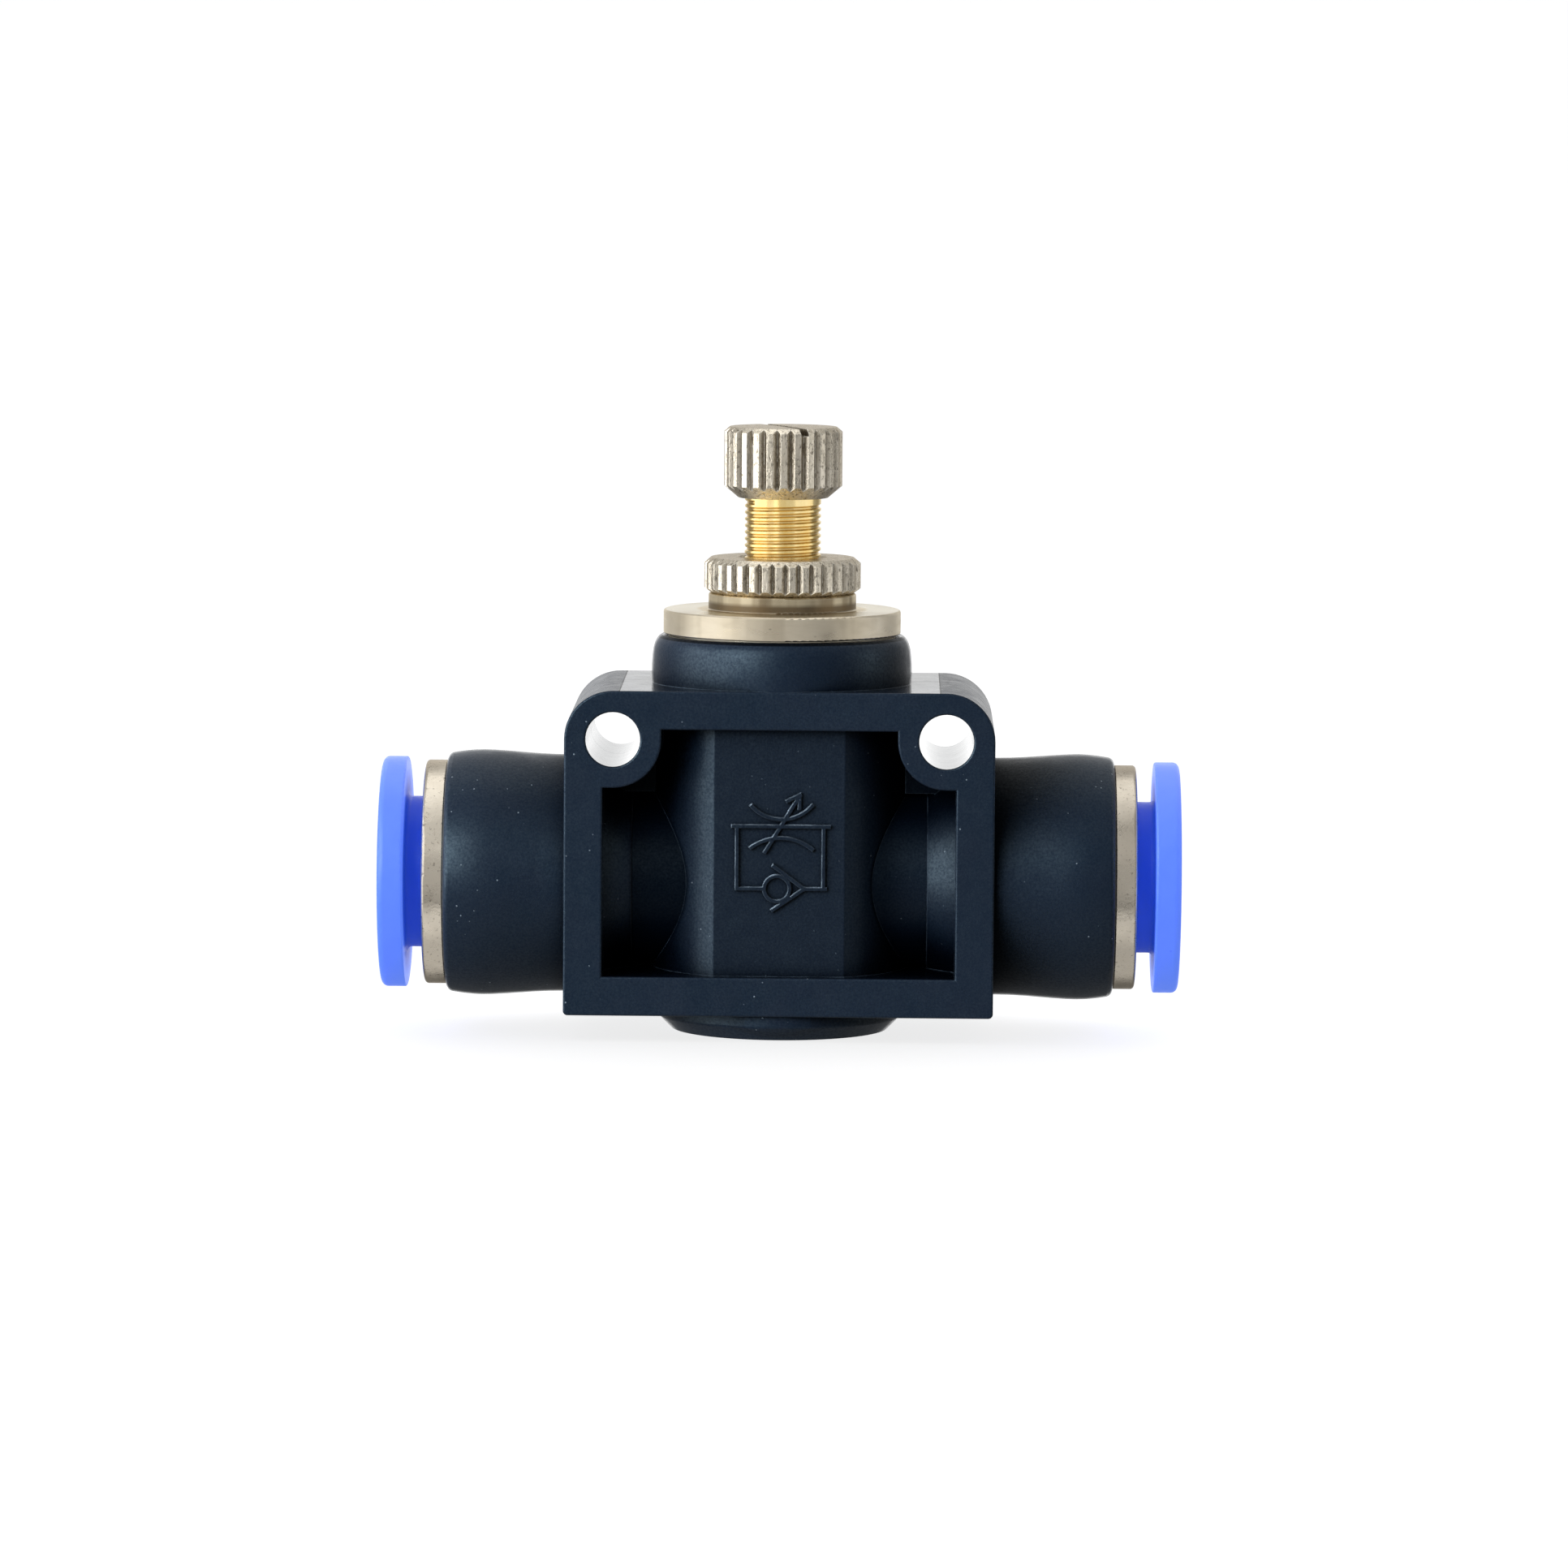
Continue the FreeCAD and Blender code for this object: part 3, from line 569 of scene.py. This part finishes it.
def build_world():
    """Dark round the camera, dim at the sides, white paper straight behind."""
    world = bpy.data.worlds.new("studio")
    scene.world = world
    world.use_nodes = True
    g = Graph(world.node_tree)
    out = g.add("ShaderNodeOutputWorld")
    _, y, z = g.split(g.node("ShaderNodeTexCoord", output="Generated"))
    sides = y.ramp(span=(-0.9, 0.7), to=(0.03, 0.30), smooth=True)
    horizon = y.ramp(span=(0.70, 0.98), smooth=True).ramp(to=(sides, 1.0))
    overhead = y.ramp(span=(-0.25, 0.25), to=(0.16, 0.55), smooth=True)
    sky = z.ramp(span=(0.20, 0.85), smooth=True).ramp(to=(horizon, overhead))
    ambient = z.ramp(span=(-0.55, -0.05), smooth=True).ramp(to=(0.17, sky))
    # seen directly, the backdrop is white paper on every side
    seen = g.node("ShaderNodeLightPath", output="Is Camera Ray")
    background = g.node("ShaderNodeBackground", {"Color": (1.0, 1.0, 1.0),
                                                 "Strength": seen.ramp(to=(ambient, 1.0))})
    g.put(out.inputs[0], background)


build_floor()
build_world()


# ---- lights -----------------------------------------------------------------------
def collect(name, *kinds):
    """A collection of the pieces made of the given materials."""
    collection = bpy.data.collections.new(name)
    scene.collection.children.link(collection)
    for piece_name, piece in pieces.items():
        if MADE_OF[piece_name] in kinds:
            collection.objects.link(piece)
    return collection


def softbox(name, at, width, height, radiance, colour, receivers):
    """A rectangular light aimed at the object, seen only by its receivers."""
    light = bpy.data.lights.new(name, "AREA")
    light.energy = math.pi * width * height * radiance
    light.color = colour
    light.shape = "RECTANGLE"
    light.size = width
    light.size_y = height
    lamp = bpy.data.objects.new(name, light)
    scene.collection.objects.link(lamp)
    lamp.location = at
    aim = Vector(LIGHT_TARGET) - Vector(at)
    lamp.rotation_euler = aim.to_track_quat("-Z", "Y").to_euler()
    lamp.visible_camera = False
    lamp.light_linking.receiver_collection = receivers


LIGHT_TARGET = (0, 0, 0.018)
PLASTIC = collect("plastic_parts", "body", "sleeve", "rubber", "acetal")
PLATED = collect("plated_parts", "bushing", "ring", "steel")
KNURLED = collect("knurled_parts", "knurl")
BRASS = collect("brass_parts", "brass")
COOL, WINDOW, WHITE = (0.86, 0.97, 1.10), (0.80, 0.95, 1.08), (1, 1, 1)

# name, position, width, height, radiance, colour, the only pieces it lights
SOFTBOXES = (
    ("key_left", (-0.71, -0.26, 0.18), 0.74, 0.60, 2.85, COOL, PLASTIC),
    ("window_left", (-0.40, -0.62, 0.30), 0.40, 0.50, 4.00, WINDOW, PLASTIC),
    ("window_right", (0.85, -0.08, 0.20), 0.40, 0.50, 0.82, WINDOW, PLASTIC),
    ("plated_left", (-0.85, -0.36, 0.14), 1.10, 1.30, 1.16, WHITE, PLATED),
    ("plated_behind", (-0.78, 0.40, 0.18), 0.70, 1.00, 0.22, WHITE, PLATED),
    ("plated_front", (0.0, -0.98, 0.12), 1.50, 0.90, 0.46, WHITE, PLATED),
    ("plated_right", (0.90, -0.12, 0.14), 1.10, 1.10, 0.50, WHITE, PLATED),
    ("plated_high", (-0.05, -0.70, 0.62), 1.20, 0.45, 0.50, WHITE, PLATED),
    ("plated_top", (-0.05, 0.05, 1.00), 1.30, 1.00, 0.75, WHITE, PLATED),
    ("plated_low", (-0.05, -0.55, -0.65), 1.30, 0.60, 0.66, WHITE, PLATED),
    ("plated_floor", (0.0, 0.15, -0.95), 1.40, 0.90, 0.45, WHITE, PLATED),
    ("knurl_left", (-0.90, -0.24, 0.14), 1.10, 1.30, 2.85, WHITE, KNURLED),
    ("knurl_front", (-0.10, -0.98, 0.16), 1.10, 1.20, 0.53, WHITE, KNURLED),
    ("knurl_right", (0.86, -0.30, 0.14), 1.00, 1.20, 0.72, WHITE, KNURLED),
    ("knurl_top", (-0.10, -0.15, 1.00), 1.20, 1.00, 0.95, WHITE, KNURLED),
    ("brass_left", (-0.90, -0.18, 0.16), 1.10, 1.30, 1.70, WHITE, BRASS),
    ("brass_window", (-0.48, -0.82, 0.16), 0.60, 1.20, 0.95, WHITE, BRASS),
    ("brass_front", (0.12, -0.98, 0.16), 1.40, 1.20, 0.66, WHITE, BRASS),
    ("brass_right", (0.88, -0.30, 0.14), 1.20, 1.20, 0.92, WHITE, BRASS),
    ("brass_high", (0.0, -0.45, 0.86), 1.20, 0.80, 1.00, WHITE, BRASS),
    ("brass_low", (0.0, -0.55, -0.60), 1.20, 0.60, 0.70, WHITE, BRASS),
)
for row in SOFTBOXES:
    softbox(*row)


# ---- camera -----------------------------------------------------------------------
def build_camera(target, azimuth, elevation, roll, distance):
    """A long lens in front of the object; azimuth turns it to the right, angles in degrees."""
    data = bpy.data.cameras.new("camera")
    data.sensor_width = 36.0
    data.lens = 181.1
    data.clip_start = 0.01
    camera = bpy.data.objects.new("camera", data)
    scene.collection.objects.link(camera)
    scene.camera = camera
    turn, lift = math.radians(azimuth), math.radians(elevation)
    away = Vector((math.sin(turn) * math.cos(lift), -math.cos(turn) * math.cos(lift),
                   math.sin(lift)))
    camera.location = target + away * distance
    look = (target - camera.location).to_track_quat("-Z", "Y").to_matrix()
    camera.rotation_euler = (look @ Matrix.Rotation(math.radians(roll), 3, "Z")).to_euler()


build_camera(target=Vector((0.00023, 0.0, AXIS_Z + 0.0069)),
             azimuth=0.7, elevation=5.5, roll=0.42, distance=0.600)
